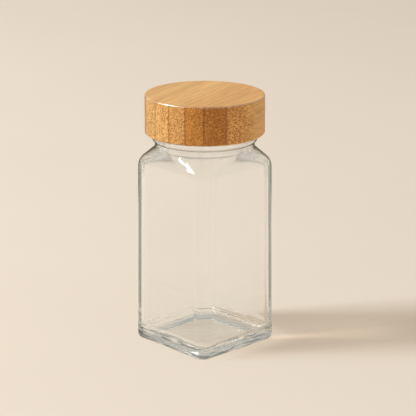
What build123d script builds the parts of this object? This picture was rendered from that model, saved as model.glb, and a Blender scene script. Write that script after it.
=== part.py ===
from build123d import *
import math
import os

# A square glass spice jar, closed by a screw cap turned from laminated bamboo.
# Lengths are in millimetres and angles in degrees. The origin is at the centre
# of the base, on the surface that the jar stands on, and Z points up.

# Glass body, a square as wide as its neck
flat_margin = 0.45  # from the neck out to the flats, where the shoulder starts
wall_draft = 0.6  # how far each wall leans in, from the base to the shoulder
body_corner_radius = 4.8
inner_corner_radius = 4.4  # the glass gathers in the corners
wall_height = 73.3  # base to the start of the shoulder
glass_wall = 2.0
floor_thickness = 3.2
floor_fillet = 3.0  # inside, where the floor meets the walls
heel_radius = 2.0  # outside, under the walls
recess_margin = 4.8  # from the base's flats to the hollow under it
recess_slope_width = 4.6  # from the hollow's rim in to its flat panel
recess_depth = 1.0

# Shoulder, seen on a corner: it bends in, slopes up, and bends back into the neck
shoulder_bend = 53.0  # degrees, of each of its two bends
shoulder_radius = 5.3
neck_root_radius = 1.5
shoulder_steps = 4  # of each bend
seam_ledge = 0.05  # left by the mould's joint, around the foot of the neck

# Glass neck and screw finish
finish_radius = 19.85  # between the threads
finish_height = 10.6  # bead to lip
finish_wall = 3.35
lip_radius = 0.9
neck_swell = 0.05  # how much wider the neck is than the finish above the bead
neck_height = 2.1  # shoulder to bead
bead_overhang = 1.15  # out from the neck
bead_height = 2.4

# Screw thread, right hand, one start
thread_pitch = 4.23
thread_depth = 1.1
thread_root_width = 2.2
thread_crest_width = 0.9
thread_inset = 2.2  # lip to the centre of the thread's top end
thread_foot = 3.7  # bead to the centre of the thread's bottom end
thread_fade_angle = 35.0  # each end fades into the wall over this angle
thread_step_angle = 8.0  # between the sections that shape a thread
thread_start_angle = 20.0
thread_sink = 0.4  # how far a ridge reaches into the wall that carries it
thread_end_share = 0.12  # of its full section, at each faded end

# Shaker insert, a plastic plug with a perforated deck
deck_thickness = 0.8
flange_margin = 0.5  # lip's outer edge to the flange's edge
plug_depth = 7.0
plug_wall = 0.9
plug_clearance = 0.06  # at the sealing rib
plug_relief = 0.25  # between the plug's wall and the bore
sealing_rib_radius = 0.5
shaker_hole_radius = 2.5
shaker_hole_circle_radius = 9.2  # the circle that the outer holes stand on
shaker_outer_hole_count = 6

# Foam seal disc
seal_thickness = 1.0
seal_clearance = 0.08  # all round, in the inner cap

# Inner cap, moulded plastic, glued into the bamboo
inner_cap_top = 1.0
inner_cap_wall = 0.9
inner_cap_setback = 0.3  # its rim is this far inside the bamboo's
cap_thread_clearance = 0.35  # to the glass thread's crest, and to the glass finish
cap_thread_root_width = 1.7
cap_thread_crest_width = 0.7
cap_thread_play = 0.12  # between the flanks, when the cap is shut
retaining_bead_depth = 0.45
retaining_bead_height = 0.5
retaining_bead_gap = 0.1
flute_radius = 0.3  # glue flutes around the outside
flute_count = 24

# Bamboo shell, glued up from strips and turned
bamboo_wall = 1.75  # around the inner cap
bamboo_top = 3.2  # above the inner cap
bead_gap = 0.9  # between the glass bead and the bamboo's rim
glue_line = 0.05
cap_top_edge_radius = 0.7
cap_rim_chamfer = 0.5
strip_count = 7
strip_width_share = 0.148  # of the cap's width; the outermost two are turned down to less
grain_angle = 109.5  # the way the strips run, from +X

# One overrun for every cut and every slab
overrun = 1.0

# Widths and radii that the pieces share
neck_radius = finish_radius + neck_swell
half_shoulder = neck_radius + flat_margin
base_side = 2 * (half_shoulder + wall_draft)
bead_radius = neck_radius + bead_overhang
bore_radius = finish_radius - finish_wall
thread_crest_radius = finish_radius + thread_depth
inner_cap_bore = thread_crest_radius + cap_thread_clearance
inner_cap_radius = inner_cap_bore + inner_cap_wall
bamboo_bore = inner_cap_radius + glue_line
cap_radius = bamboo_bore + bamboo_wall

# Heights that the pieces share
thread_turns = (finish_height - thread_inset - thread_foot) / thread_pitch
bend = math.radians(shoulder_bend)
diagonal = math.sqrt(2)  # of a square, in sides
corner_reach = (half_shoulder - body_corner_radius) * diagonal + body_corner_radius
shoulder_reach = corner_reach - neck_radius - 2 * seam_ledge
bend_reach = (shoulder_radius + neck_root_radius) * (1 - math.cos(bend))
bend_rise = (shoulder_radius + neck_root_radius) * math.sin(bend)
shoulder_top = wall_height + bend_rise + (shoulder_reach - bend_reach) / math.tan(bend)
bead_bottom = shoulder_top + neck_height
bead_top = bead_bottom + bead_height
lip_height = bead_top + finish_height
deck_top = lip_height + deck_thickness
seal_top = deck_top + seal_thickness
inner_cap_height = seal_top + inner_cap_top
cap_top = inner_cap_height + bamboo_top
cap_bottom = bead_top + bead_gap
inner_cap_bottom = cap_bottom + inner_cap_setback

os.makedirs("parts", exist_ok=True)


def square_jar_form(inset, corner, bottom, neck):
    """The jar's body as a solid: square walls, and a shoulder that turns them into a round neck.

    inset is how far the form lies inside the glass's outer face, and corner the radius between
    its walls. The shoulder is lofted through rounded squares: their corners follow its bends and
    slope, and their flats lean to the neck.
    """
    start_half = half_shoulder - inset
    bottom_half = start_half + wall_draft * (1 - bottom / wall_height)
    outer_bend = shoulder_radius - inset
    inner_bend = neck_root_radius + inset
    neck_half = neck + seam_ledge
    neck_reach = neck_half + seam_ledge
    start_reach = (start_half - corner) * diagonal + corner
    bends_reach = (outer_bend + inner_bend) * (1 - math.cos(bend))
    slope_rise = (start_reach - neck_reach - bends_reach) / math.tan(bend)
    top = wall_height + (outer_bend + inner_bend) * math.sin(bend) + slope_rise

    angles = [bend * step / shoulder_steps for step in range(shoulder_steps + 1)]
    levels = [
        (start_reach - outer_bend * (1 - math.cos(a)), wall_height + outer_bend * math.sin(a))
        for a in angles
    ]
    levels += [
        (neck_reach + inner_bend * (1 - math.cos(a)), top - inner_bend * math.sin(a))
        for a in reversed(angles)
    ]
    with BuildPart() as form:
        for half, height in ((bottom_half, bottom), (start_half, wall_height)):
            with BuildSketch(Plane.XY.offset(height)):
                RectangleRounded(2 * half, 2 * half, corner)
        loft(ruled=True)
        for reach, height in levels:
            rise_share = (height - wall_height) / (top - wall_height)
            blend = rise_share * rise_share * (3 - 2 * rise_share)
            half = start_half + (neck_half - start_half) * blend
            level_corner = (half * diagonal - reach) / (diagonal - 1)
            with BuildSketch(Plane.XY.offset(height)):
                RectangleRounded(2 * half, 2 * half, level_corner)
        loft()
    return form.part


def thread_ridge(base_radius, crest_radius, root_width, crest_width, top_centre):
    """One helical ridge, standing out or in from base_radius to crest_radius, with faded ends."""
    depth = crest_radius - base_radius
    sink = math.copysign(thread_sink, depth)
    foot_spread = (root_width - crest_width) / 2 * sink / depth
    sweep_angle = 360 * thread_turns
    steps = math.ceil(sweep_angle / thread_step_angle)
    with BuildPart() as ridge:
        for step in range(steps + 1):
            angle = sweep_angle * step / steps
            from_end = min(angle, sweep_angle - angle)
            fade_share = math.sin(math.radians(90 * min(1, from_end / thread_fade_angle)))
            size_share = thread_end_share + (1 - thread_end_share) * fade_share
            height = top_centre - thread_pitch * (sweep_angle - angle) / 360
            half_foot = root_width * size_share / 2 + foot_spread
            half_crest = crest_width * size_share / 2
            crest = base_radius + depth * size_share
            with BuildSketch(Plane.XZ.rotated((0, 0, thread_start_angle + angle))):
                with BuildLine():
                    Polyline(
                        (base_radius - sink, height - half_foot),
                        (crest, height - half_crest),
                        (crest, height + half_crest),
                        (base_radius - sink, height + half_foot),
                        close=True,
                    )
                make_face()
        loft()
    return ridge.part


# The glass jar. Its inside follows its outside, a wall's thickness in.
with BuildPart() as cavity:
    add(square_jar_form(glass_wall, inner_corner_radius, floor_thickness, bore_radius))
    fillet(cavity.faces().sort_by(Axis.Z)[0].edges(), floor_fillet)
    with BuildSketch(Plane.XY.offset(shoulder_top)):
        Circle(bore_radius)
    extrude(amount=lip_height + overrun - shoulder_top)

glass_thread = thread_ridge(
    finish_radius,
    thread_crest_radius,
    thread_root_width,
    thread_crest_width,
    lip_height - thread_inset,
)

bead_core_radius = bead_radius - bead_height / 2
bead_middle = bead_bottom + bead_height / 2
with BuildPart() as glass_jar:
    add(square_jar_form(0, body_corner_radius, 0, neck_radius))
    fillet(glass_jar.faces().sort_by(Axis.Z)[0].edges(), heel_radius)
    with BuildSketch(Plane.XZ):
        with BuildLine():
            Polyline(
                (0, shoulder_top - overrun),
                (neck_radius, shoulder_top - overrun),
                (neck_radius, bead_middle),
                (finish_radius, bead_middle),
                (finish_radius, lip_height),
                (0, lip_height),
                close=True,
            )
        make_face()
        with Locations((bead_core_radius, bead_middle)):
            Circle(bead_height / 2)
        with Locations((bead_core_radius / 2, bead_middle)):
            Rectangle(bead_core_radius, bead_height)
    revolve(axis=Axis.Z)
    add(glass_thread)
    add(cavity.part, mode=Mode.SUBTRACT)
    fillet(glass_jar.faces().sort_by(Axis.Z)[-1].edges(), lip_radius)
    rim_side = base_side - 2 * recess_margin
    panel_side = rim_side - 2 * recess_slope_width
    for side, height in ((rim_side, 0), (panel_side, recess_depth)):
        with BuildSketch(Plane.XY.offset(height)):
            RectangleRounded(side, side, body_corner_radius)
    loft(mode=Mode.SUBTRACT)
glass_jar.part.label = "glass_jar"
export_step(glass_jar.part, "parts/glass_jar.step")

# The shaker insert. Its plug fills the bore and its flange lies on the lip.
plug_radius = bore_radius - plug_relief
plug_bottom = lip_height - plug_depth
rib_centre = bore_radius - plug_clearance - sealing_rib_radius
with BuildPart() as shaker_insert:
    with BuildSketch(Plane.XY.offset(lip_height)):
        Circle(finish_radius - flange_margin)
    extrude(amount=deck_thickness)
    with BuildSketch(Plane.XY.offset(plug_bottom)):
        Circle(plug_radius)
        Circle(plug_radius - plug_wall, mode=Mode.SUBTRACT)
    extrude(amount=plug_depth)
    with BuildSketch(Plane.XZ):
        with Locations((rib_centre, plug_bottom + plug_depth / 2)):
            Circle(sealing_rib_radius)
    revolve(axis=Axis.Z)
    with Locations((0, 0, deck_top)):
        Hole(shaker_hole_radius)
        with PolarLocations(shaker_hole_circle_radius, shaker_outer_hole_count):
            Hole(shaker_hole_radius)
shaker_insert.part.label = "shaker_insert"
export_step(shaker_insert.part, "parts/shaker_insert.step")

# The foam disc that seals on the shaker's flange.
with BuildPart() as seal_disc:
    with BuildSketch(Plane.XY.offset(deck_top)):
        Circle(inner_cap_bore - seal_clearance)
    extrude(amount=seal_thickness)
seal_disc.part.label = "seal_disc"
export_step(seal_disc.part, "parts/seal_disc.step")

# The inner cap. Its thread hangs under the glass thread, flank below flank.
cap_thread_crest_radius = finish_radius + cap_thread_clearance
engaged_share = cap_thread_clearance / thread_depth
glass_half_width = (
    thread_root_width * (1 - engaged_share) + thread_crest_width * engaged_share
) / 2
thread_drop = glass_half_width + cap_thread_crest_width / 2 + cap_thread_play
cap_thread = thread_ridge(
    inner_cap_bore,
    cap_thread_crest_radius,
    cap_thread_root_width,
    cap_thread_crest_width,
    lip_height - thread_inset - thread_drop,
)

with BuildPart() as inner_cap:
    with BuildSketch(Plane.XY.offset(inner_cap_bottom)):
        Circle(inner_cap_radius)
    extrude(amount=inner_cap_height - inner_cap_bottom)
    with BuildSketch(Plane.XY.offset(inner_cap_bottom)):
        Circle(inner_cap_bore)
    extrude(amount=seal_top - inner_cap_bottom, mode=Mode.SUBTRACT)
    with BuildSketch(Plane.XZ):
        bead_base = deck_top - retaining_bead_gap
        with BuildLine():
            Polyline(
                (inner_cap_bore + thread_sink, bead_base),
                (inner_cap_bore - retaining_bead_depth, bead_base),
                (inner_cap_bore, bead_base - retaining_bead_height),
                (inner_cap_bore + thread_sink, bead_base - retaining_bead_height),
                close=True,
            )
        make_face()
    revolve(axis=Axis.Z)
    add(cap_thread)
    with BuildSketch(Plane.XY.offset(inner_cap_bottom)):
        with PolarLocations(inner_cap_radius, flute_count):
            Circle(flute_radius)
    extrude(amount=seal_top - inner_cap_bottom, mode=Mode.SUBTRACT)
inner_cap.part.label = "inner_cap"
export_step(inner_cap.part, "parts/inner_cap.step")

# The bamboo shell as it leaves the lathe, then cut along its glue lines into strips.
with BuildPart() as turned_shell:
    with BuildSketch(Plane.XY.offset(cap_bottom)):
        Circle(cap_radius)
    extrude(amount=cap_top - cap_bottom)
    fillet(turned_shell.edges().sort_by(Axis.Z)[-1], cap_top_edge_radius)
    chamfer(turned_shell.edges().sort_by(Axis.Z)[0], cap_rim_chamfer)
    with BuildSketch(Plane.XY.offset(cap_bottom)):
        Circle(bamboo_bore)
    extrude(amount=inner_cap_height - cap_bottom, mode=Mode.SUBTRACT)

strip_width = 2 * cap_radius * strip_width_share
strip_reach = cap_radius + overrun
joints = [(number - strip_count / 2) * strip_width for number in range(1, strip_count)]
edges_across = [-strip_reach] + joints + [strip_reach]
grain_plane = Plane.XY.offset(cap_bottom - overrun).rotated((0, 0, grain_angle))
for number in range(strip_count):
    low = edges_across[number]
    high = edges_across[number + 1]
    with BuildPart() as strip:
        add(turned_shell.part)
        with BuildSketch(grain_plane):
            with Locations((0, (low + high) / 2)):
                Rectangle(2 * strip_reach, high - low)
        extrude(amount=cap_top - cap_bottom + 2 * overrun, mode=Mode.INTERSECT)
    name = f"bamboo_strip_{number + 1}"
    strip.part.label = name
    export_step(strip.part, f"parts/{name}.step")
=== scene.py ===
import math

import bpy
import numpy as np
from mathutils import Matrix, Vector


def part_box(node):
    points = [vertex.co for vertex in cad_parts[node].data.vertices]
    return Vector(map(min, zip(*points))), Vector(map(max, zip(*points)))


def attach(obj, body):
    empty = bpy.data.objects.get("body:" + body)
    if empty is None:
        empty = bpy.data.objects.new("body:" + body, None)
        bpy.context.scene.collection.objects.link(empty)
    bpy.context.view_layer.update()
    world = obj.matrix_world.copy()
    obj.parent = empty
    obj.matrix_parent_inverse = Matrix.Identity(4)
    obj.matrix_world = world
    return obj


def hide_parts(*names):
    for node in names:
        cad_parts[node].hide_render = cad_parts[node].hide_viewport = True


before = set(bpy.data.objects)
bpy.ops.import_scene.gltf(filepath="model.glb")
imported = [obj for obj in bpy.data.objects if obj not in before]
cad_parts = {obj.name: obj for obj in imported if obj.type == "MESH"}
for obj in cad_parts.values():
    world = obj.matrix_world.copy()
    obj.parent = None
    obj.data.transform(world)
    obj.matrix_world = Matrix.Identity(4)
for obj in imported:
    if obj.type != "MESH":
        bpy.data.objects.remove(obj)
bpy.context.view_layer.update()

# The camera. The photograph looks down a little on one corner of the jar, from
# 0.7 m away and with a long lens, so the glass hardly tapers.

mm = 0.001
camera_azimuth = math.radians(46.79)
camera_elevation = math.radians(16.55)
camera_distance = 700 * mm
aim_to_right = 1.27 * mm
aim_height = 55.45 * mm


def outward(azimuth, elevation):
    """The direction out of the jar at an azimuth, counted from the front, and an elevation."""
    level = math.cos(elevation)
    return Vector((math.sin(azimuth) * level, -math.cos(azimuth) * level, math.sin(elevation)))


toward_camera = outward(camera_azimuth, camera_elevation)
picture_right = Vector((math.cos(camera_azimuth), math.sin(camera_azimuth), 0))
aim = picture_right * aim_to_right + Vector((0, 0, aim_height))

camera_data = bpy.data.cameras.new("photo_camera")
camera_data.lens = 149.7
camera_data.sensor_width = 36
camera_data.clip_start = 0.01
camera_data.clip_end = 50
camera = bpy.data.objects.new("photo_camera", camera_data)
bpy.context.scene.collection.objects.link(camera)
camera.location = aim + toward_camera * camera_distance
camera.rotation_mode = "QUATERNION"
camera.rotation_quaternion = (-toward_camera).to_track_quat("-Z", "Y")
bpy.context.scene.camera = camera
bpy.context.scene.view_settings.view_transform = "Standard"

# The table. The jar stands on warm white card that runs out of sight behind it.
# The card is matt, and mottled a little by its fibres.


def linear(red, green, blue):
    """A screen colour, each channel 0 to 255, as the linear colour that a shader takes."""
    channels = []
    for value in (red, green, blue):
        share = value / 255
        channels.append(share / 12.92 if share <= 0.04045 else ((share + 0.055) / 1.055) ** 2.4)
    return (*channels, 1.0)


def fill(tree, node, inputs):
    """Sets a node's inputs, by name or number, from sockets or plain values."""
    for name, value in inputs.items():
        if isinstance(value, bpy.types.NodeSocket):
            tree.links.new(value, node.inputs[name])
        elif value is not None:
            node.inputs[name].default_value = value


def add_node(tree, kind, inputs=None, **settings):
    """A node of a kind, with its settings and inputs."""
    node = tree.nodes.new(kind)
    for name, value in settings.items():
        setattr(node, name, value)
    fill(tree, node, inputs or {})
    return node


def noise_node(tree, place, scale=1.0, detail=1.0, seed=None, roughness=0.5):
    """The outputs of a noise at a place. A seed gives it another pattern."""
    inputs = {"Vector": place, "Scale": scale, "Detail": detail, "Roughness": roughness, "W": seed}
    dimensions = "3D" if seed is None else "4D"
    return add_node(tree, "ShaderNodeTexNoise", inputs, noise_dimensions=dimensions).outputs


def blend_node(tree, share, first, second, blend_type="MIX"):
    """A colour mix of sockets or plain colours."""
    inputs = {"Factor": share, "A": first, "B": second}
    mix = add_node(tree, "ShaderNodeMix", inputs, data_type="RGBA", blend_type=blend_type)
    return mix.outputs["Result"]


def lay_out(tree):
    """Sets a tree's nodes in columns, each to the left of the nodes that it feeds."""
    column_width = 220
    row_height = 260
    columns = {node.name: 0 for node in tree.nodes}
    for _ in tree.nodes:
        for link in tree.links:
            fed = columns[link.to_node.name]
            columns[link.from_node.name] = max(columns[link.from_node.name], fed + 1)
    rows = dict.fromkeys(columns.values(), 0)
    for node in tree.nodes:
        column = columns[node.name]
        node.location = (-column * column_width, -rows[column] * row_height)
        rows[column] += 1


def new_finish(name):
    """A material with its tree, its Principled shader and its output, from which a finish is built."""
    material = bpy.data.materials.new(name)
    material.use_nodes = True
    tree = material.node_tree
    tree.nodes.clear()
    shader = add_node(tree, "ShaderNodeBsdfPrincipled")
    output = add_node(tree, "ShaderNodeOutputMaterial", {"Surface": shader.outputs["BSDF"]})
    return material, tree, shader, output


def dress(piece, material):
    """Gives a piece one material, with its nodes laid out."""
    lay_out(material.node_tree)
    piece.data.materials.clear()
    piece.data.materials.append(material)


def new_piece(name, points, faces):
    """A smooth mesh object from its points in metres and its faces, linked into the scene."""
    mesh = bpy.data.meshes.new(name)
    mesh.from_pydata([tuple(point) for point in points], [], faces)
    mesh.update()
    mesh.polygons.foreach_set("use_smooth", [True] * len(mesh.polygons))
    piece = bpy.data.objects.new(name, mesh)
    bpy.context.scene.collection.objects.link(piece)
    return piece


card_half = 6.0
card_height = -0.02 * mm
card = new_piece(
    "card",
    [
        (-card_half, -card_half, card_height),
        (card_half, -card_half, card_height),
        (card_half, card_half, card_height),
        (-card_half, card_half, card_height),
    ],
    [(0, 1, 2, 3)],
)
material, tree, shader, output = new_finish("warm_card")
where = add_node(tree, "ShaderNodeTexCoord").outputs["Object"]
mottle = noise_node(tree, where, 9, 3)["Fac"]
tone = blend_node(tree, mottle, linear(236, 225, 212), linear(240, 229, 216))
fill(tree, shader, {"Base Color": tone, "Roughness": 0.9, "Specular IOR Level": 0.1})
dress(card, material)

# The light. A window on the left gives the soft shadow to the right. The room is light
# and warm above and a darker grey low down, which draws the edges of the glass.


def sum_node(tree, operation, *values):
    """A Math node's result, from sockets or plain numbers."""
    node = add_node(tree, "ShaderNodeMath", dict(enumerate(values)), operation=operation)
    return node.outputs["Value"]


def ramp_node(tree, value, low, high, bottom=0.0, top=1.0):
    """A smooth step from one value to another."""
    ends = {"Value": value, "From Min": low, "From Max": high, "To Min": bottom, "To Max": top}
    step = add_node(tree, "ShaderNodeMapRange", ends, interpolation_type="SMOOTHSTEP")
    return step.outputs["Result"]


world = bpy.data.worlds.new("room")
bpy.context.scene.world = world
world.use_nodes = True
tree = world.node_tree
tree.nodes.clear()
direction = add_node(tree, "ShaderNodeTexCoord").outputs["Generated"]
split = add_node(tree, "ShaderNodeSeparateXYZ", {"Vector": direction})
lift = add_node(tree, "ShaderNodeMapRange", {"Value": split.outputs["Z"], "From Min": -1})
band = add_node(tree, "ShaderNodeValToRGB", {"Fac": lift.outputs["Result"]})
room_tones = [
    (0.0, (0.44, 0.43, 0.40, 1)),
    (0.46, (0.44, 0.43, 0.40, 1)),
    (0.54, (0.63, 0.57, 0.50, 1)),
    (0.75, (0.60, 0.55, 0.48, 1)),
    (1.0, (0.50, 0.47, 0.43, 1)),
]
while len(band.color_ramp.elements) < len(room_tones):
    band.color_ramp.elements.new(0.5)
for element, (position, colour) in zip(band.color_ramp.elements, room_tones):
    element.position = position
    element.color = colour

# Dark furniture stands to the left and right, and shows as lines in the rims of the glass.
furniture_start = 0.72
furniture_full = 0.93
sideways = add_node(
    tree, "ShaderNodeVectorMath", {0: direction, 1: picture_right}, operation="DOT_PRODUCT"
)
side_size = sum_node(tree, "ABSOLUTE", sideways.outputs["Value"])
beside = ramp_node(tree, side_size, furniture_start, furniture_full)
room_colour = blend_node(tree, beside, band.outputs["Color"], (0.15, 0.16, 0.16, 1))
room = add_node(tree, "ShaderNodeBackground", {"Color": room_colour})
add_node(tree, "ShaderNodeOutputWorld", {"Surface": room.outputs["Background"]})
lay_out(tree)

# The window stands to the left of the camera, and high.
window_azimuth = camera_azimuth - math.radians(84)
window_elevation = math.radians(38)
window_distance = 2.4
window_side = 0.56
window_power = 43.5
window_aim_height = 50 * mm
toward_window = outward(window_azimuth, window_elevation)
window_data = bpy.data.lights.new("window", "AREA")
window_data.shape = "RECTANGLE"
window_data.size = window_side
window_data.size_y = window_side
window_data.energy = window_power
window_data.color = (0.99, 0.995, 1.0)
window = bpy.data.objects.new("window", window_data)
bpy.context.scene.collection.objects.link(window)
window.location = toward_window * window_distance + Vector((0, 0, window_aim_height))
window.rotation_mode = "QUATERNION"
window.rotation_quaternion = toward_window.to_track_quat("Z", "Y")

# The glass jar. A pressed and blown jar of clear soda-lime glass: square walls, a
# shoulder that turns them into a round neck, and the thread and bead of its mouth.

base_side = 41.9
shoulder_side = 40.7
corner_radius = 4.8
inner_corner_radius = 4.4
wall_height = 73.3
glass_wall = 2.0
floor_thickness = 3.2
floor_fillet = 3.0
heel_radius = 2.0
recess_margin = 4.8
recess_slope_width = 4.6
recess_depth = 1.0
shoulder_bend = math.radians(53)
shoulder_radius = 5.3
neck_root_radius = 1.5
seam_ledge = 0.05
finish_radius = 19.85
neck_radius = 19.9
bore_radius = 16.5
bead_radius = 21.05
bead_height = 2.4
neck_height = 2.1
finish_height = 10.6
lip_radius = 0.9
wall_steps = 22
bend_steps = 9
slope_steps = 6
heel_run_out = 3.0
diagonal = math.sqrt(2)

lip_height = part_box("glass_jar")[1].z / mm
bead_top = lip_height - finish_height
bead_bottom = bead_top - bead_height
shoulder_top = bead_bottom - neck_height

# The turns round a ring of points are closer together at the jar's corners.
flat_turns = np.linspace(0, 36, 19)[:-1]
corner_turns = np.linspace(36, 54, 37)[:-1]
far_turns = np.linspace(54, 90, 19)[:-1]
quarter = np.concatenate((flat_turns, corner_turns, far_turns))
turns = np.radians(np.concatenate([quarter + 90 * side for side in range(4)]))


def eased(share):
    """A share from 0 to 1 that starts and ends gently."""
    return share**2 * (3 - 2 * share)


def square_reach(half, corner):
    """How far a rounded square reaches from its centre, at each turn."""
    x = np.abs(np.cos(turns))
    y = np.abs(np.sin(turns))
    most, least = np.maximum(x, y), np.minimum(x, y)
    centre = half - corner
    flat = half / most
    along = centre * (x + y)
    rounded = along + np.sqrt(np.maximum(corner**2 - 2 * centre**2 + along**2, 0))
    return np.where(flat * least <= centre, flat, rounded)


def shoulder_rings(inset, corner, neck):
    """The rings of the shoulder, from its walls to its neck, inset from the outer glass."""
    start_half = shoulder_side / 2 - inset
    outer_bend = shoulder_radius - inset
    inner_bend = neck_root_radius + inset
    neck_half = neck + seam_ledge
    neck_reach = neck_half + seam_ledge
    start_reach = (start_half - corner) * diagonal + corner
    bends_reach = (outer_bend + inner_bend) * (1 - math.cos(shoulder_bend))
    slope_reach = start_reach - neck_reach - bends_reach
    slope_rise = slope_reach / math.tan(shoulder_bend)
    top = wall_height + (outer_bend + inner_bend) * math.sin(shoulder_bend) + slope_rise
    levels = []
    for step in range(1, bend_steps + 1):
        angle = shoulder_bend * step / bend_steps
        levels.append(
            (
                start_reach - outer_bend * (1 - math.cos(angle)),
                wall_height + outer_bend * math.sin(angle),
            )
        )
    slope_start = levels[-1]
    for step in range(1, slope_steps):
        share = step / slope_steps
        levels.append(
            (slope_start[0] - slope_reach * share, slope_start[1] + slope_rise * share)
        )
    for step in range(bend_steps, -1, -1):
        angle = shoulder_bend * step / bend_steps
        levels.append(
            (
                neck_reach + inner_bend * (1 - math.cos(angle)),
                top - inner_bend * math.sin(angle),
            )
        )
    rings = []
    for reach, height in levels:
        rise_share = (height - wall_height) / (top - wall_height)
        blend = eased(rise_share)
        half = start_half + (neck_half - start_half) * blend
        level_corner = (half * diagonal - reach) / (diagonal - 1)
        rings.append((square_reach(half, min(level_corner, half)), height))
    return rings


def wall_rings(inset, corner, low_height):
    """The rings of the straight walls, from a height up to the shoulder's start."""
    rings = []
    for height in np.linspace(low_height, wall_height, wall_steps):
        lean = (base_side - shoulder_side) / 2 * (1 - height / wall_height)
        rings.append((square_reach(shoulder_side / 2 - inset + lean, corner), height))
    return rings


def round_rings(points, ring_turns=turns):
    """Round rings, from (radius, height) pairs."""
    return [(np.full(len(ring_turns), radius), height) for radius, height in points]


def ring_piece(name, rings, ring_turns, first_height, last_height):
    """A closed piece from rings of reaches and their heights, with a middle point at each end."""
    points = [(0, 0, first_height * mm)]
    for reach, height in rings:
        across = reach * np.cos(ring_turns) * mm
        deep = reach * np.sin(ring_turns) * mm
        points += [(x, y, height * mm) for x, y in zip(across, deep)]
    points.append((0, 0, last_height * mm))
    count = len(ring_turns)
    faces = [(0, 1 + (k + 1) % count, 1 + k) for k in range(count)]
    for ring in range(len(rings) - 1):
        start = 1 + ring * count
        for k in range(count):
            after = (k + 1) % count
            faces.append((start + k, start + after, start + count + after, start + count + k))
    last = 1 + (len(rings) - 1) * count
    faces += [(last + k, last + (k + 1) % count, len(points) - 1) for k in range(count)]
    return new_piece(name, points, faces)


def arc(centre_radius, centre_height, radius, start, end, steps):
    """(radius, height) pairs round an arc, its angles in degrees from outwards."""
    return [
        (centre_radius + radius * math.cos(angle), centre_height + radius * math.sin(angle))
        for angle in np.radians(np.linspace(start, end, steps + 1))
    ]


thread_pitch = 4.23
thread_inset = 2.2
thread_foot = 3.7
thread_start = 20.0
thread_fade = 35.0
thread_end_share = 0.12
thread_steps = 60
thread_gap = 0.06

# How far a thread stands out, and its width at its root and at its crest.
glass_thread = (1.1, 2.2, 0.9)


def thread_height(heights, ring_turns, top_centre, depth, root_width, crest_width):
    """How far a screw thread stands out of its wall, by ring and turn."""
    sweep = 360 * (finish_height - thread_inset - thread_foot) / thread_pitch
    stands = np.zeros((len(heights), len(ring_turns)))
    turn = (np.degrees(ring_turns) - thread_start) % 360
    for lap in (0, 360):
        angle = turn + lap
        from_end = np.minimum(angle, sweep - angle)
        fade = np.sin(np.radians(90 * np.clip(from_end / thread_fade, 0, 1)))
        size = np.where(from_end >= 0, thread_end_share + (1 - thread_end_share) * fade, 0)
        centre = top_centre - thread_pitch * (sweep - angle) / 360
        for row, height in enumerate(heights):
            away = np.abs(height - centre)
            half_root, half_crest = root_width * size / 2, crest_width * size / 2
            flank = np.clip((half_root - away) / np.maximum(half_root - half_crest, 1e-6), 0, 1)
            rounded = eased(flank)
            stands[row] = np.maximum(stands[row], depth * size * rounded)
    return stands


# From the middle of the underside, out and up the outside, over the lip, down the inside.
panel_half = base_side / 2 - recess_margin - recess_slope_width
rings = [
    (square_reach(panel_half * share, min(corner_radius, panel_half * share)), recess_depth)
    for share in (0.3, 0.6, 0.85)
]
for share in np.linspace(0, 1, 11):
    drop = eased(share)
    rings.append(
        (
            square_reach(panel_half + recess_slope_width * share, corner_radius),
            recess_depth * (1 - drop),
        )
    )
for angle in np.radians(np.linspace(0, 90, 9)):
    inset = heel_radius * (1 - math.sin(angle))
    rings.append(
        (
            square_reach(base_side / 2 - inset, corner_radius - inset),
            heel_radius * (1 - math.cos(angle)),
        )
    )
rings += wall_rings(0, corner_radius, heel_radius + heel_run_out)
rings += shoulder_rings(0, corner_radius, neck_radius)
bead_core = bead_radius - bead_height / 2
bead_middle = bead_bottom + bead_height / 2
rings += round_rings(
    [(neck_radius, shoulder_top + neck_height * share) for share in (0.2, 0.6, 0.97)]
)
rings += round_rings(arc(bead_core, bead_middle, bead_height / 2, -88, 88, 14))
finish_heights = np.linspace(bead_top + thread_gap, lip_height - lip_radius, thread_steps)
thread = thread_height(finish_heights, turns, lip_height - thread_inset, *glass_thread)
rings += [
    (finish_radius + stands, height) for stands, height in zip(thread, finish_heights)
]
rings += round_rings(
    arc(finish_radius - lip_radius, lip_height - lip_radius, lip_radius, 0, 90, 6)[1:]
)
rings += round_rings(
    arc(bore_radius + lip_radius, lip_height - lip_radius, lip_radius, 90, 180, 6)
)
inner_shoulder = shoulder_rings(glass_wall, inner_corner_radius, bore_radius)
inner_top = inner_shoulder[-1][1]
rings += round_rings(
    [
        (bore_radius, inner_top + (lip_height - lip_radius - inner_top) * share)
        for share in (0.75, 0.5, 0.25, 0.03)
    ]
)
rings += reversed(inner_shoulder)
rings += reversed(
    wall_rings(glass_wall, inner_corner_radius, floor_thickness + floor_fillet)
)
inner_half = base_side / 2 - glass_wall
for angle in np.radians(np.linspace(0, 90, 9))[1:]:
    inset = floor_fillet * (1 - math.cos(angle))
    rings.append(
        (
            square_reach(inner_half - inset, inner_corner_radius - inset),
            floor_thickness + floor_fillet * (1 - math.sin(angle)),
        )
    )
floor_half = inner_half - floor_fillet
floor_corner = inner_corner_radius - floor_fillet
rings += [
    (square_reach(floor_half * share, floor_corner * share), floor_thickness)
    for share in (0.85, 0.6, 0.3)
]

jar = ring_piece("glass_jar_clear", rings, turns, recess_depth, floor_thickness)


def mapped(tree, place, scale, turn=0.0):
    """A place stretched by a scale for each axis, and turned about the upright axis."""
    inputs = {"Vector": place, "Scale": scale, "Rotation": (0, 0, turn)}
    return add_node(tree, "ShaderNodeMapping", inputs).outputs["Vector"]


def product(tree, result, *others):
    """Sockets and plain numbers multiplied together."""
    for value in others:
        result = sum_node(tree, "MULTIPLY", result, value)
    return result


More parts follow.
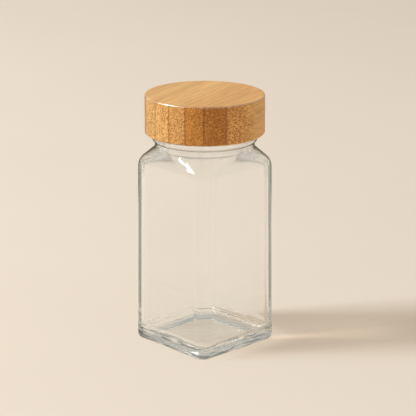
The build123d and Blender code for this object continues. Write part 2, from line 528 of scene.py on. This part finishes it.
def largest(tree, result, *others):
    """The largest of some sockets."""
    for value in others:
        result = sum_node(tree, "MAXIMUM", result, value)
    return result


def add_relief(tree, shader, height, distance, strength=1.0):
    """Lets a height of 1 stand out of the shader's surface by a distance in metres."""
    inputs = {"Height": height, "Distance": distance, "Strength": strength}
    relief = add_node(tree, "ShaderNodeBump", inputs)
    fill(tree, shader, {"Normal": relief.outputs["Normal"]})


material, tree, shader, output = new_finish("clear_soda_glass")
glass_ior = 1.5
inputs = {"Base Color": (0.99, 0.996, 0.996, 1), "IOR": glass_ior, "Transmission Weight": 1.0}
fill(tree, shader, inputs)
where = add_node(tree, "ShaderNodeTexCoord").outputs["Object"]
split = add_node(tree, "ShaderNodeSeparateXYZ", {"Vector": where})
x, y, height = (split.outputs[axis] for axis in "XYZ")
slant = add_node(tree, "ShaderNodeLayerWeight", {"Blend": 0.5}).outputs["Facing"]
ray = add_node(tree, "ShaderNodeLightPath").outputs

# The thick base, the walls and the shoulder each carry light in their own way.
base_level = 5 * mm
streaks_level = 8 * mm
wall_level = 12 * mm
middle_level = 52 * mm
shoulder_level = 68 * mm
neck_level = 76 * mm
near_base = ramp_node(tree, height, streaks_level, base_level)
above_base = ramp_node(tree, height, base_level, wall_level)
above_middle = ramp_node(tree, height, middle_level, shoulder_level)
in_shoulder = ramp_node(tree, height, shoulder_level, neck_level)

# The outer faces lie further from the axis than the inner ones, also at the corners.
inner_reach = 19.0 * mm
outer_reach = 19.4 * mm
reach = largest(tree, sum_node(tree, "ABSOLUTE", x), sum_node(tree, "ABSOLUTE", y))
outside = ramp_node(tree, reach, inner_reach, outer_reach)
inside = sum_node(tree, "SUBTRACT", 1.0, outside)

# Light on its way to the card and off it goes straight through, and loses most at the rims.
edge_share = sum_node(tree, "POWER", slant, 2.0)
face_cast = blend_node(tree, above_base, (1.06, 1.055, 1.045, 1), (0.90, 0.875, 0.835, 1))
rim_cast = blend_node(tree, above_base, (0.88, 0.84, 0.78, 1), (0.30, 0.25, 0.20, 1))
wall_cast = blend_node(tree, edge_share, face_cast, rim_cast)

# The corner away from the window gathers light into a streak on the card.
corner_start = 16.6 * mm
corner_full = 18.2 * mm
nearer = sum_node(tree, "MINIMUM", x, y)
gathered = ramp_node(tree, nearer, corner_start, corner_full, 0.0, 0.8)
streak_cast = blend_node(tree, gathered, wall_cast, (1.46, 1.40, 1.31, 1))

# The corner towards the front spreads light over its own shadow.
front_start = 22 * mm
front_full = 33 * mm
forward = sum_node(tree, "SUBTRACT", x, y)
spread = ramp_node(tree, forward, front_start, front_full, 0.0, 0.75)
cast = blend_node(tree, spread, streak_cast, (1.0, 0.995, 0.985, 1))

# Streaks drawn out along the base, as the plunger and the shears leave them. They raise a real relief,
# and they also carry painted shade: darker, cooler streaks in the light let out of the base, and dark
# lines that only the camera sees.
streak_scales = (85, 85, 1100)
streaks = noise_node(tree, mapped(tree, where, streak_scales))["Fac"]
streak_tone = ramp_node(tree, streaks, 0.42, 0.58)


def held_tint(painted_streak_tint, floor, wall, shoulder):
    """The tint of light that was held in the glass for long, from the tints of its parts."""
    # The streaks darken the light let out of the base: painted shade.
    base_with_painted_streaks = blend_node(tree, streak_tone, painted_streak_tint, (1.0, 1.0, 1.0, 1))
    base = blend_node(tree, inside, base_with_painted_streaks, floor)
    below_shoulder = blend_node(tree, above_base, base, wall)
    return blend_node(tree, in_shoulder, below_shoulder, shoulder)


# Light that the glass would carry round inside it for long leaves it here, dimmed and cooler.
face_tint = held_tint(
    painted_streak_tint=(0.62, 0.74, 0.80, 1),
    floor=(0.93, 0.955, 0.95, 1),
    wall=(0.84, 0.88, 0.88, 1),
    shoulder=(0.96, 0.955, 0.93, 1),
)
rim_tint = held_tint(
    painted_streak_tint=(0.02, 0.04, 0.05, 1),
    floor=(0.74, 0.77, 0.77, 1),
    wall=(0.08, 0.12, 0.11, 1),
    shoulder=(0.05, 0.07, 0.065, 1),
)
tint = blend_node(tree, edge_share, face_tint, rim_tint)
trapped = blend_node(tree, ray["Is Diffuse Ray"], tint, (0.98, 0.98, 0.98, 1))

# Only the camera sees these painted dark lines: on the thickest streaks of the base, and thin ones at
# the tight bends of the shoulder, the neck and the bead. They are painted shade, a dark tint given to
# camera rays alone.
drawn = ramp_node(tree, streaks, 0.53, 0.57, 0.0, 0.75)
painted_streak_lines = product(tree, drawn, near_base, outside, ray["Is Camera Ray"])
bend = ramp_node(tree, slant, 0.5, 0.85, 0.0, 0.9)
painted_bend_lines = product(tree, bend, above_middle, ray["Is Camera Ray"])
painted_lines = largest(tree, painted_streak_lines, painted_bend_lines)
painted_line_tint = blend_node(tree, above_middle, (0.16, 0.21, 0.23, 1), (0.17, 0.16, 0.12, 1))
with_painted_lines = blend_node(tree, painted_lines, trapped, painted_line_tint)
passing = blend_node(tree, ray["Is Shadow Ray"], with_painted_lines, cast)
clear = add_node(tree, "ShaderNodeBsdfTransparent", {"Color": passing})

# Light is let out after one reflection inside the base, after three in the walls, and
# after eight steps of any kind.
base_turns = 0.5
wall_turns = 2.5
most_steps = 7.5
turns_allowed = ramp_node(tree, above_base, 0, 1, base_turns, wall_turns)
held = sum_node(tree, "GREATER_THAN", ray["Glossy Depth"], turns_allowed)
deep = sum_node(tree, "GREATER_THAN", ray["Ray Depth"], most_steps)

# The glass is a little wavy, and its floor, which the plunger pressed, a little less clear.
wave_scales = (140, 140, 45)
wave_height = 0.12 * mm
streak_to_wave = 6.0
floor_roughness = 0.16
shoulder_roughness = 0.04
waves = noise_node(tree, mapped(tree, where, wave_scales))["Fac"]
streak_depth = product(tree, near_base, outside, streak_to_wave)
streaked = sum_node(tree, "MULTIPLY_ADD", streaks, streak_depth, waves)
add_relief(tree, shader, streaked, wave_height)
pressed_floor = product(tree, near_base, floor_roughness, inside)
blurred = sum_node(tree, "MULTIPLY_ADD", in_shoulder, shoulder_roughness, pressed_floor)
fill(tree, shader, {"Roughness": blurred})

# In the shoulder, much of the light that a plain reflection would hold leaks through the waves.
mirror = add_node(tree, "ShaderNodeFresnel", {"IOR": glass_ior}).outputs["Fac"]
mirror_share = ramp_node(tree, mirror, 0.6, 0.95, 0.0, 0.85)
turned_to_eye = ramp_node(tree, slant, 0.75, 0.5)
leak = product(tree, mirror_share, turned_to_eye, in_shoulder)
lighting = largest(tree, ray["Is Shadow Ray"], ray["Is Diffuse Ray"])
straight = largest(tree, held, deep, leak, painted_lines, lighting)
choose = add_node(
    tree,
    "ShaderNodeMixShader",
    {0: straight, 1: shader.outputs["BSDF"], 2: clear.outputs["BSDF"]},
)
fill(tree, output, {"Surface": choose.outputs["Shader"]})
dress(jar, material)
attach(jar, "jar")
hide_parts("glass_jar")

# The shaker insert. A moulded plastic plug with a perforated deck, pressed into the
# jar's mouth. A rib round it seals in the bore, and its flange lies on the glass lip.

flange_radius = 19.35
plug_radius = 16.25
plug_wall = 0.9
plug_depth = 7.0
sealing_rib_radius = 0.5
rib_centre = 15.94
moulded_edge = 0.25
rib_run_out = 0.4
flange_root = 0.15
shaker_hole_radius = 2.5
hole_circle_radius = 9.2
outer_hole_count = 6
hole_bevel = 0.2
hole_sides = 64
sharpest_smooth_bend = math.radians(32)
round_turns = np.radians(np.linspace(0, 360, 193)[:-1])


def even_rings(points):
    """Rings of the round pieces, from (radius, height) pairs."""
    return round_rings(points, round_turns)


def new_group(kind, name, inputs, outputs):
    """A node group with named sockets, each given as a name, a kind and a starting value."""
    group = bpy.data.node_groups.new(name, kind)
    for in_out, sockets in (("INPUT", inputs), ("OUTPUT", outputs)):
        for label, socket_kind, start in sockets:
            socket_type = f"NodeSocket{socket_kind}"
            socket = group.interface.new_socket(label, in_out=in_out, socket_type=socket_type)
            if start is not None:
                socket.default_value = start
    given = add_node(group, "NodeGroupInput")
    result = add_node(group, "NodeGroupOutput")
    return group, given, result


def grown(piece, tree, sizes):
    """The piece after a geometry tree has worked on it, its inputs given by name, as a plain mesh."""
    modifier = piece.modifiers.new(tree.name, "NODES")
    modifier.node_group = tree
    for item in tree.interface.items_tree:
        if item.in_out == "INPUT" and item.name in sizes:
            modifier[item.identifier] = sizes[item.name]
    piece.update_tag()
    made = piece.evaluated_get(bpy.context.evaluated_depsgraph_get())
    mesh = bpy.data.meshes.new_from_object(made)
    piece.modifiers.remove(modifier)
    piece.data = mesh
    return piece


def stand_on_points(tree, points, shape, height):
    """Copies of a shape, raised to a height, one on each point."""
    lift = add_node(tree, "ShaderNodeCombineXYZ", {"Z": height})
    inputs = {"Geometry": shape, "Translation": lift.outputs["Vector"]}
    raised = add_node(tree, "GeometryNodeTransform", inputs)
    inputs = {"Points": points, "Instance": raised.outputs["Geometry"]}
    return add_node(tree, "GeometryNodeInstanceOnPoints", inputs).outputs["Instances"]


def finish_geometry(tree, shape, material, result):
    """The last nodes of a geometry tree: smooth faces, sharp edges, real geometry and a material."""
    smooth = add_node(tree, "GeometryNodeSetShadeSmooth", {"Geometry": shape})
    bend = add_node(tree, "GeometryNodeInputMeshEdgeAngle").outputs["Unsigned Angle"]
    inputs = {"A": bend, "B": sharpest_smooth_bend}
    sharp = add_node(tree, "FunctionNodeCompare", inputs, operation="GREATER_THAN")
    inputs = {
        "Geometry": smooth.outputs["Geometry"],
        "Selection": sharp.outputs["Result"],
        "Shade Smooth": False,
    }
    crease = add_node(tree, "GeometryNodeSetShadeSmooth", inputs, domain="EDGE")
    real = add_node(tree, "GeometryNodeRealizeInstances", {"Geometry": crease.outputs["Geometry"]})
    inputs = {"Geometry": real.outputs["Geometry"], "Material": material}
    painted = add_node(tree, "GeometryNodeSetMaterial", inputs)
    fill(tree, result, {"Geometry": painted.outputs["Geometry"]})
    lay_out(tree)


# Round holes with a small bevel at the top, one in the middle and the rest on a circle.
holes, given, result = new_group(
    "GeometryNodeTree",
    "round_perforations",
    (
        ("Geometry", "Geometry", None),
        ("Hole Radius", "Float", 0.0),
        ("Circle Radius", "Float", 0.0),
        ("Hole Count", "Int", 1),
        ("Deck Top", "Float", 0.0),
        ("Cut Depth", "Float", 0.0),
        ("Bevel", "Float", 0.0),
        ("Finish", "Material", None),
    ),
    (("Geometry", "Geometry", None),),
)
sizes = given.outputs
circle = add_node(
    holes,
    "GeometryNodeMeshCircle",
    {"Vertices": sizes["Hole Count"], "Radius": sizes["Circle Radius"]},
)
middle = add_node(holes, "GeometryNodePoints")
spots = add_node(holes, "GeometryNodeMeshToPoints", {"Mesh": circle.outputs["Mesh"]})
places = add_node(holes, "GeometryNodeJoinGeometry")
for points in (spots, middle):
    fill(holes, places, {"Geometry": points.outputs["Points"]})
drill = add_node(
    holes,
    "GeometryNodeMeshCylinder",
    {"Vertices": hole_sides, "Radius": sizes["Hole Radius"], "Depth": sizes["Cut Depth"]},
)
twice_bevel = product(holes, sizes["Bevel"], 2.0)
bevel_cut = add_node(
    holes,
    "GeometryNodeMeshCone",
    {
        "Vertices": hole_sides,
        "Radius Top": sum_node(holes, "ADD", sizes["Hole Radius"], twice_bevel),
        "Radius Bottom": sizes["Hole Radius"],
        "Depth": twice_bevel,
    },
)
bevel_base = sum_node(holes, "SUBTRACT", sizes["Deck Top"], sizes["Bevel"])
inputs = {"Mesh 1": sizes["Geometry"]}
cut = add_node(holes, "GeometryNodeMeshBoolean", inputs, operation="DIFFERENCE", solver="EXACT")
for tool, base in ((drill, sizes["Deck Top"]), (bevel_cut, bevel_base)):
    cutters = stand_on_points(holes, places.outputs["Geometry"], tool.outputs["Mesh"], base)
    fill(holes, cut, {"Mesh 2": cutters})
finish_geometry(holes, cut.outputs["Mesh"], sizes["Finish"], result)

# Moulded plastic: a fine even grain from the mould, and faint flow marks.
moulded, given, result = new_group(
    "ShaderNodeTree",
    "moulded_plastic",
    (
        ("Place", "Vector", None),
        ("Tint", "Color", (0.9, 0.9, 0.88, 1)),
        ("Gloss", "Float", 0.35),
    ),
    (("Colour", "Color", None), ("Roughness", "Float", None), ("Height", "Float", None)),
)
flow = noise_node(moulded, given.outputs["Place"], 0.16, 2.0)["Fac"]
pores = noise_node(moulded, given.outputs["Place"], 5.0, 4.0)["Fac"]
shade = blend_node(moulded, flow, (0.95, 0.94, 0.92, 1), (1.03, 1.03, 1.03, 1))
toned = blend_node(moulded, 1.0, given.outputs["Tint"], shade, "MULTIPLY")
wear = sum_node(moulded, "MULTIPLY_ADD", pores, 0.12, given.outputs["Gloss"])
fill(moulded, result, {"Colour": toned, "Roughness": wear, "Height": pores})
lay_out(moulded)


def place_in_mm(tree, turn=0.0):
    """The place on a piece in millimetres, turned about the upright axis."""
    where = add_node(tree, "ShaderNodeTexCoord").outputs["Object"]
    return mapped(tree, where, (1 / mm, 1 / mm, 1 / mm), turn)


def mould_finish(name, tint, gloss, relief_height):
    """A material of moulded plastic, with its own tint, gloss and depth of grain."""
    material, tree, shader, output = new_finish(name)
    inputs = {"Place": place_in_mm(tree), "Tint": tint, "Gloss": gloss}
    pattern = add_node(tree, "ShaderNodeGroup", inputs, node_tree=moulded).outputs
    fill(tree, shader, {"Base Color": pattern["Colour"], "Roughness": pattern["Roughness"]})
    add_relief(tree, shader, pattern["Height"], relief_height * mm)
    lay_out(tree)
    return material


deck_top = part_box("shaker_insert")[1].z / mm
plug_bottom = lip_height - plug_depth
plug_bore = plug_radius - plug_wall
rib_middle = lip_height - plug_depth / 2
rib_side = math.degrees(math.acos((plug_radius - rib_centre) / sealing_rib_radius))
profile = [(plug_bore * share, lip_height) for share in (0.3, 0.6, 0.8, 0.97)]
profile += arc(plug_bore - moulded_edge, lip_height - moulded_edge, moulded_edge, 90, 0, 4)
profile += [(plug_bore, lip_height - plug_depth * share) for share in (0.3, 0.6, 0.9)]
profile += arc(plug_bore + moulded_edge, plug_bottom + moulded_edge, moulded_edge, 180, 270, 4)
profile += arc(plug_radius - moulded_edge, plug_bottom + moulded_edge, moulded_edge, -90, 0, 4)
profile += [(plug_radius, rib_middle - sealing_rib_radius - rib_run_out)]
profile += arc(rib_centre, rib_middle, sealing_rib_radius, -rib_side, rib_side, 8)
profile += [
    (plug_radius, rib_middle + sealing_rib_radius + rib_run_out),
    (plug_radius, lip_height - flange_root),
    (plug_radius, lip_height),
    (plug_radius + flange_root, lip_height),
]
profile += arc(flange_radius - moulded_edge, lip_height + moulded_edge, moulded_edge, -90, 0, 4)
profile += arc(flange_radius - moulded_edge, deck_top - moulded_edge, moulded_edge, 0, 90, 4)
deck_rings = (flange_radius - 0.5, 15.0, 13.5, hole_circle_radius, 5.0)
profile += [(radius, deck_top) for radius in deck_rings]
material = mould_finish("shaker_plastic_white", (0.86, 0.86, 0.83, 1), 0.26, 0.006)
shaker = ring_piece("shaker_insert_deck", even_rings(profile), round_turns, lip_height, deck_top)
shaker = grown(
    shaker,
    holes,
    {
        "Hole Radius": shaker_hole_radius * mm,
        "Circle Radius": hole_circle_radius * mm,
        "Hole Count": outer_hole_count,
        "Deck Top": deck_top * mm,
        "Cut Depth": plug_depth * mm,
        "Bevel": hole_bevel * mm,
        "Finish": material,
    },
)
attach(shaker, "jar")
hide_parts("shaker_insert")

# The seal disc. A disc of closed-cell foam, snapped behind a bead in the inner cap. The
# glass mouth, with the shaker's flange on it, has pressed a shallow ring into it.

imprint_depth = 0.07
imprint_width = 0.5
imprint_steps = 6
foam_edge = 0.3
low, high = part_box("seal_disc")
seal_bottom, seal_top = low.z / mm, high.z / mm
seal_radius = high.x / mm
pressed = seal_bottom + imprint_depth
profile = [(seal_radius * share, seal_bottom) for share in (0.2, 0.4, 0.6)]
profile += [
    (plug_bore + imprint_width * share, seal_bottom + imprint_depth * eased(share))
    for share in np.linspace(0, 1, imprint_steps)
]
profile += [(plug_radius + 1, pressed), (flange_radius - 1, pressed)]
profile += [
    (flange_radius + imprint_width * share, pressed - imprint_depth * eased(share))
    for share in np.linspace(0, 1, imprint_steps)
]
profile += arc(seal_radius - foam_edge, seal_bottom + foam_edge, foam_edge, -90, 0, 6)
profile += arc(seal_radius - foam_edge, seal_top - foam_edge, foam_edge, 0, 90, 6)
profile += [(seal_radius * share, seal_top) for share in (0.9, 0.6, 0.3)]
seal = ring_piece("seal_disc_foam", even_rings(profile), round_turns, seal_bottom, seal_top)

material, tree, shader, output = new_finish("seal_foam_white")
where = place_in_mm(tree)
bubbles = add_node(tree, "ShaderNodeTexVoronoi", {"Vector": where, "Scale": 4.5})
cell_wall = ramp_node(tree, bubbles.outputs["Distance"], 0.25, 0.7)
cloud = noise_node(tree, where, 0.4, 2.0)["Fac"]
foam = blend_node(tree, cell_wall, (0.76, 0.76, 0.74, 1), (0.88, 0.88, 0.86, 1))
aged = blend_node(tree, cloud, (0.95, 0.94, 0.91, 1), (1.0, 1.0, 1.0, 1))
fill(tree, shader, {"Base Color": blend_node(tree, 1.0, foam, aged, "MULTIPLY"), "Roughness": 0.75})
add_relief(tree, shader, cell_wall, 0.03 * mm)
dress(seal, material)
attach(seal, "seal")
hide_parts("seal_disc")

# The inner cap. A moulded plastic cap with the thread inside, glued into the bamboo. The
# glue keys into flutes round its outside, and the seal lies above the thread.

cap_thread_clearance = 0.35
cap_thread_play = 0.12
cap_thread = (1.1, 1.7, 0.7)
retaining_bead_depth = 0.45
retaining_bead_height = 0.5
retaining_bead_gap = 0.1
bead_edge = 0.05
bead_root = 0.02
cap_thread_steps = 54
flute_radius = 0.3
flute_count = 24
flute_sides = 20
rim_edge = 0.2
low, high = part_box("inner_cap")
cap_low, cap_high = low.z / mm, high.z / mm
inner_cap_radius = high.x / mm
inner_cap_bore = finish_radius + glass_thread[0] + cap_thread_clearance
engaged_share = cap_thread_clearance / glass_thread[0]
glass_half_width = (glass_thread[1] * (1 - engaged_share) + glass_thread[2] * engaged_share) / 2
thread_drop = glass_half_width + cap_thread[2] / 2 + cap_thread_play
bead_base = deck_top - retaining_bead_gap
bead_foot = bead_base - retaining_bead_height
rings = even_rings([(inner_cap_bore * share, seal_top) for share in (0.3, 0.6, 0.9, 0.99)])
rings += even_rings(
    [
        (inner_cap_bore, seal_top),
        (inner_cap_bore, bead_base + bead_root),
        (inner_cap_bore - bead_root, bead_base),
        (inner_cap_bore - retaining_bead_depth + bead_edge, bead_base),
        (inner_cap_bore - retaining_bead_depth, bead_base - bead_edge),
        (inner_cap_bore, bead_foot),
    ]
)
wall_heights = np.linspace(bead_foot - bead_edge, cap_low + rim_edge, cap_thread_steps)
stands = thread_height(
    wall_heights, round_turns, lip_height - thread_inset - thread_drop, *cap_thread
)
rings += [(inner_cap_bore - stand, height) for stand, height in zip(stands, wall_heights)]
rings += even_rings(
    arc(inner_cap_bore + rim_edge, cap_low + rim_edge, rim_edge, 180, 270, 4)[1:]
)
rings += even_rings(arc(inner_cap_radius - rim_edge, cap_low + rim_edge, rim_edge, -90, 0, 4))
side_heights = np.linspace(cap_low + 1, cap_high - 1, 5)
rings += even_rings([(inner_cap_radius, height) for height in side_heights])
rings += even_rings(arc(inner_cap_radius - rim_edge, cap_high - rim_edge, rim_edge, 0, 90, 4))
rings += even_rings([(inner_cap_radius * share, cap_high) for share in (0.9, 0.6, 0.3)])

flutes, given, result = new_group(
    "GeometryNodeTree",
    "upright_flutes",
    (
        ("Geometry", "Geometry", None),
        ("Flute Radius", "Float", 0.0),
        ("Circle Radius", "Float", 0.0),
        ("Flute Count", "Int", 1),
        ("Low End", "Float", 0.0),
        ("High End", "Float", 0.0),
        ("Finish", "Material", None),
    ),
    (("Geometry", "Geometry", None),),
)
sizes = given.outputs
circle = add_node(
    flutes,
    "GeometryNodeMeshCircle",
    {"Vertices": sizes["Flute Count"], "Radius": sizes["Circle Radius"]},
)
length = sum_node(flutes, "SUBTRACT", sizes["High End"], sizes["Low End"])
cutter = add_node(
    flutes,
    "GeometryNodeMeshCylinder",
    {"Vertices": flute_sides, "Radius": sizes["Flute Radius"], "Depth": length},
)
both_ends = sum_node(flutes, "ADD", sizes["High End"], sizes["Low End"])
middle_height = product(flutes, both_ends, 0.5)
cutters = stand_on_points(flutes, circle.outputs["Mesh"], cutter.outputs["Mesh"], middle_height)
inputs = {"Mesh 1": sizes["Geometry"], "Mesh 2": cutters}
cut = add_node(flutes, "GeometryNodeMeshBoolean", inputs, operation="DIFFERENCE", solver="EXACT")
finish_geometry(flutes, cut.outputs["Mesh"], sizes["Finish"], result)

material = mould_finish("inner_cap_plastic", (0.74, 0.70, 0.62, 1), 0.38, 0.01)
inner_cap = ring_piece("inner_cap_threaded", rings, round_turns, seal_top, cap_high)
inner_cap = grown(
    inner_cap,
    flutes,
    {
        "Flute Radius": flute_radius * mm,
        "Circle Radius": inner_cap_radius * mm,
        "Flute Count": flute_count,
        "Low End": (cap_low - 1) * mm,
        "High End": seal_top * mm,
        "Finish": material,
    },
)
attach(inner_cap, "cap")
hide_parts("inner_cap")

# The bamboo cap. Seven strips of bamboo, glued side by side, then turned and sanded on a
# lathe and oiled. The side shows their end grain, and the top their long fibres.

grain_angle = math.radians(109.5)
grain_direction = (math.cos(grain_angle), math.sin(grain_angle), 0)
strip_width = 7.104
bundle_spacing = 0.48
bundle_length = 24.0
fibre_sway = 1.6
top_colour = linear(241, 188, 116)
evening = 0.7
glue_colour = linear(120, 62, 18)


def scaled_place(tree, sizes, scales):
    """A place from three sizes, each multiplied by its own scale."""
    scaled = [product(tree, size, scale) for size, scale in zip(sizes, scales)]
    return add_node(tree, "ShaderNodeCombineXYZ", dict(enumerate(scaled))).outputs["Vector"]


# The grain runs along x of the place given, in millimetres. Fibre bundles are cells
# drawn out along it, so they cut as dots on the ends and as streaks along the top.
grain, given, result = new_group(
    "ShaderNodeTree",
    "bamboo_grain",
    (
        ("Place", "Vector", None),
        ("End Share", "Float", 0.0),
        ("Strip Middle", "Float", 0.0),
        ("Seed", "Float", 0.0),
        ("Ground", "Color", linear(232, 172, 96)),
        ("Bundles", "Color", linear(138, 74, 10)),
    ),
    (("Colour", "Color", None), ("Roughness", "Float", None), ("Height", "Float", None)),
)
parts = add_node(grain, "ShaderNodeSeparateXYZ", {"Vector": given.outputs["Place"]})
along, across, up = (parts.outputs[axis] for axis in "XYZ")
seed = given.outputs["Seed"]
end_share = given.outputs["End Share"]

# Slow wander of the fibres as they run along the strip.
slow = scaled_place(grain, (along, across, up), (0.05, 0.3, 0.3))
wander = noise_node(grain, slow, seed=seed)["Color"]
sway = add_node(grain, "ShaderNodeSeparateColor", {"Color": wander}).outputs
swayed_across = sum_node(grain, "MULTIPLY_ADD", sway["Green"], fibre_sway, across)
swayed_up = sum_node(grain, "MULTIPLY_ADD", sway["Blue"], fibre_sway, up)
swayed = (along, swayed_across, swayed_up)

cell_scales = (1 / bundle_length, 1 / bundle_spacing, 1 / bundle_spacing)
inputs = {"Vector": scaled_place(grain, swayed, cell_scales), "Scale": 1.0, "Randomness": 0.9}
cells = add_node(grain, "ShaderNodeTexVoronoi", inputs).outputs["Distance"]
bundles = ramp_node(grain, cells, 0.62, 0.26)

# Fine fibres between the bundles, and bands of slightly different ripeness.
fibre_place = scaled_place(grain, swayed, (0.09, 2.1, 2.1))
fibres = noise_node(grain, fibre_place, 1.0, 3.0, seed, 0.6)["Fac"]
band_place = scaled_place(grain, (along, across, up), (0.012, 0.55, 0.12))
bands = noise_node(grain, band_place, 1.0, 2.0, seed)["Fac"]

# The bundles stand out on the ends, where the oil soaks in, and less along the top.
fibre_light = ramp_node(grain, fibres, 0.3, 0.72)
band_light = ramp_node(grain, bands, 0.32, 0.68)
end_part = ramp_node(grain, end_share, 0.05, 0.7)
end_light = blend_node(grain, fibre_light, (0.84, 0.79, 0.70, 1), (1.16, 1.18, 1.22, 1))
top_light = blend_node(grain, fibre_light, (0.90, 0.87, 0.82, 1), (1.07, 1.08, 1.1, 1))
lit_ground = blend_node(grain, end_part, top_light, end_light)
evened = blend_node(grain, evening, given.outputs["Ground"], top_colour)
own_ground = blend_node(grain, end_part, evened, given.outputs["Ground"])
ground = blend_node(grain, 1.0, own_ground, lit_ground, "MULTIPLY")
banding = blend_node(grain, band_light, (0.90, 0.87, 0.83, 1), (1.05, 1.06, 1.08, 1))
banded = blend_node(grain, 1.0, ground, banding, "MULTIPLY")
bundle_share = ramp_node(grain, end_share, 0.03, 0.6, 0.2, 0.8)
marks = product(grain, bundles, bundle_share)
marked = blend_node(grain, marks, banded, given.outputs["Bundles"])
soaked = ramp_node(grain, end_share, 0.3, 0.9)
dulling = blend_node(grain, soaked, (1, 1, 1, 1), (0.97, 0.93, 0.88, 1))
worn = blend_node(grain, 1.0, marked, dulling, "MULTIPLY")

# Glue shows as a thin dark line where two strips meet.
glue_start = strip_width / 2 - 0.55
glue_full = strip_width / 2 - 0.05
off_middle = sum_node(grain, "SUBTRACT", across, given.outputs["Strip Middle"])
from_middle = sum_node(grain, "ABSOLUTE", off_middle)
glue = ramp_node(grain, from_middle, glue_start, glue_full)
glue_depth = ramp_node(grain, end_share, 0.2, 0.8, 0.22, 0.5)
glued = blend_node(grain, product(grain, glue, glue_depth), worn, glue_colour)
roughness = ramp_node(grain, marks, 0.0, 1.0, 0.40, 0.52)
height = sum_node(grain, "MULTIPLY_ADD", marks, -0.5, fibre_light)
fill(grain, result, {"Colour": glued, "Roughness": roughness, "Height": height})
lay_out(grain)

# Each strip comes from another culm, so it has its own colour.
strip_tones = (
    (240, 180, 104),
    (203, 139, 60),
    (214, 150, 68),
    (228, 177, 108),
    (240, 193, 122),
    (228, 186, 115),
    (192, 149, 89),
)
middle_number = (len(strip_tones) + 1) / 2
for number, tone in enumerate(strip_tones, 1):
    material, tree, shader, output = new_finish(f"oiled_bamboo_{number}")
    normal = add_node(tree, "ShaderNodeTexCoord").outputs["Normal"]
    inputs = {0: normal, 1: grain_direction}
    facing = add_node(tree, "ShaderNodeVectorMath", inputs, operation="DOT_PRODUCT")
    inputs = {
        "Place": place_in_mm(tree, -grain_angle),
        "End Share": sum_node(tree, "ABSOLUTE", facing.outputs["Value"]),
        "Strip Middle": (number - middle_number) * strip_width,
        "Seed": number * 3.7,
        "Ground": linear(*tone),
    }
    pattern = add_node(tree, "ShaderNodeGroup", inputs, node_tree=grain).outputs

    # The lathe's burnish is strongest where the side rounds over into the top.
    tilt = add_node(tree, "ShaderNodeSeparateXYZ", {"Vector": normal}).outputs["Z"]
    rounded = product(tree, ramp_node(tree, tilt, 0.1, 0.4), ramp_node(tree, tilt, 0.97, 0.8))
    finish_values = {
        "Base Color": pattern["Colour"],
        "Roughness": pattern["Roughness"],
        "Coat Weight": sum_node(tree, "MULTIPLY_ADD", rounded, 0.97, 0.03),
        "Coat Roughness": 0.32,
        "Coat IOR": 2.9,
        "Specular IOR Level": 0.3,
    }
    fill(tree, shader, finish_values)
    add_relief(tree, shader, pattern["Height"], 0.04 * mm, 0.5)
    dress(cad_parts[f"bamboo_strip_{number}"], material)
